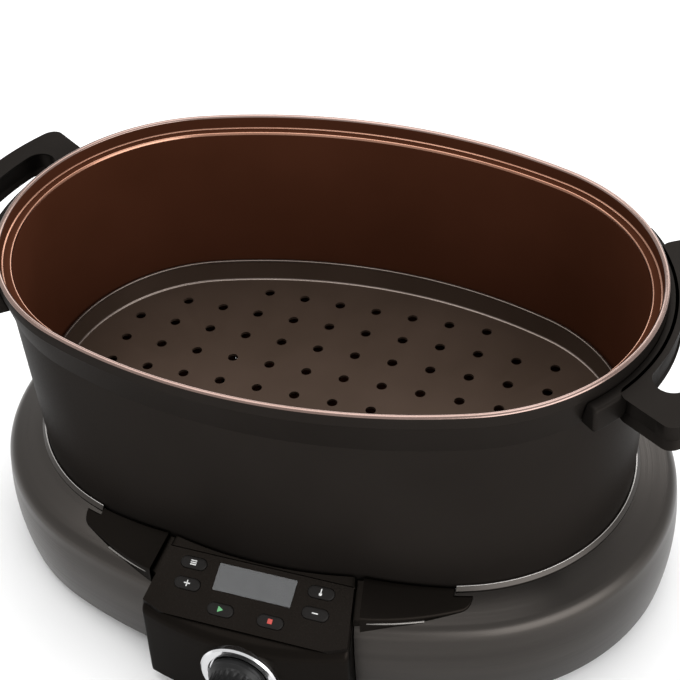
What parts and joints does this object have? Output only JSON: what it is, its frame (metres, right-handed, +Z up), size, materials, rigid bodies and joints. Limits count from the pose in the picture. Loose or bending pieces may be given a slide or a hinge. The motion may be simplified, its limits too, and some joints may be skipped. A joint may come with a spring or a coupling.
{
  "type": "multicooker",
  "caption": "Oval countertop multicooker: lift-out dark pot with a drain rack and side handles, on a heating base with a front console, push buttons and a selector dial.",
  "frame": {"origin": "on the counter, under the middle of the pot's oval, in the plane of the feet's undersides", "axes": "+Z up; +X along the oval's length towards the right handle; -Y towards the user, where the console is"},
  "size_m": [0.45, 0.3195, 0.2],
  "materials": {
    "pot_coating": "satin dark non-stick coating outside, copper-brown coating inside",
    "handle_plastic": "fine matt black",
    "bracket_steel": "plain pressed steel",
    "screw_steel": "zinc-plated steel",
    "rack_coating": "satin brown-grey coating",
    "wire_steel": "plated wire",
    "wrap_steel": "brushed along the length",
    "ring_steel": "bright",
    "liner": "plain aluminised sheet",
    "console_plastic": "satin black",
    "bead": "bright",
    "panel_plastic": "satin black face",
    "window": "smoked clear window",
    "display": "grey display glass and frame",
    "button_plastic": "dark grey rubbery face",
    "board": "green circuit board",
    "switch": "black switch bodies",
    "bezel": "bright turned ring",
    "knob_plastic": "satin black",
    "shaft_steel": "turned steel",
    "plate_cast": "cast",
    "element": "heat-dulled tube",
    "brass": "bright",
    "fuse": "white sleeve",
    "relay": "blue case",
    "transformer": "yellow tape on a ferrite core",
    "cover_plastic": "coarse matt black",
    "rubber": "matt",
    "inlet_plastic": "plain black"
  },
  "bodies": {
    "base": {"base_wrap": "wrap_steel", "base_ring": "ring_steel", "heating_well": "liner", "console_housing": "console_plastic", "console_bead": "bead", "control_panel": "panel_plastic", "display_window": "window", "display_module": "display", "control_board": "board", "button_switches": "switch", "board_screws": "screw_steel", "dial_bezel": "bezel", "selector_encoder": "switch", "heating_plate": "plate_cast", "heating_element": "element", "plate_posts": "screw_steel", "sensor_spring": "shaft_steel", "sensor_guide": "shaft_steel", "thermal_fuse": "fuse", "heat_shield": "liner", "power_board": "board", "power_relay": "relay", "transformer": "transformer", "board_spacers": "screw_steel", "bottom_cover": "cover_plastic", "cover_screws": "screw_steel", "rubber_feet": "rubber", "inlet_socket": "inlet_plastic", "inlet_pins": "brass", "inlet_screws": "screw_steel"},
    "pot": {"cooking_pot": "pot_coating", "left_handle": "handle_plastic", "right_handle": "handle_plastic", "left_handle_bracket": "bracket_steel", "right_handle_bracket": "bracket_steel", "handle_screws": "screw_steel"},
    "rack": {"rack_tray": "rack_coating", "rack_stands": "wire_steel"},
    "selector": {"selector_knob": "knob_plastic", "selector_shaft": "shaft_steel"},
    "sensor": {"sensor_plunger": "liner"},
    "program_button": {"program_button": "button_plastic"},
    "temperature_button": {"temperature_button": "button_plastic"},
    "plus_button": {"plus_button": "button_plastic"},
    "minus_button": {"minus_button": "button_plastic"},
    "start_button": {"start_button": "button_plastic"},
    "stop_button": {"stop_button": "button_plastic"}
  },
  "joints": [
    {"name": "pot_lift", "type": "slide", "parent": "base", "child": "pot", "axis": [0, 0, 1], "range_m": [0, 0.16]},
    {"name": "rack_lift", "type": "slide", "parent": "pot", "child": "rack", "axis": [0, 0, 1], "range_m": [0, 0.16]},
    {"name": "selector_turn", "type": "hinge", "parent": "base", "child": "selector", "pos_m": [0, -0.1591, 0.0327], "axis": [0, -1, 0], "range_deg": [-270, 0]},
    {"name": "sensor_press", "type": "slide", "parent": "base", "child": "sensor", "axis": [0, 0, -1], "range_m": [0, 0.003], "stiffness_N_per_m": 1500, "springref_m": -0.002, "deforming": ["sensor_spring"]},
    {"name": "program_press", "type": "slide", "parent": "base", "child": "program_button", "axis": [0, 0.4067, -0.9135], "range_m": [0, 0.0012], "stiffness_N_per_m": 800, "springref_m": -0.0005},
    {"name": "temperature_press", "type": "slide", "parent": "base", "child": "temperature_button", "axis": [0, 0.4067, -0.9135], "range_m": [0, 0.0012], "stiffness_N_per_m": 800, "springref_m": -0.0005},
    {"name": "plus_press", "type": "slide", "parent": "base", "child": "plus_button", "axis": [0, 0.4067, -0.9135], "range_m": [0, 0.0012], "stiffness_N_per_m": 800, "springref_m": -0.0005},
    {"name": "minus_press", "type": "slide", "parent": "base", "child": "minus_button", "axis": [0, 0.4067, -0.9135], "range_m": [0, 0.0012], "stiffness_N_per_m": 800, "springref_m": -0.0005},
    {"name": "start_press", "type": "slide", "parent": "base", "child": "start_button", "axis": [0, 0.4067, -0.9135], "range_m": [0, 0.0012], "stiffness_N_per_m": 800, "springref_m": -0.0005},
    {"name": "stop_press", "type": "slide", "parent": "base", "child": "stop_button", "axis": [0, 0.4067, -0.9135], "range_m": [0, 0.0012], "stiffness_N_per_m": 800, "springref_m": -0.0005}
  ]
}
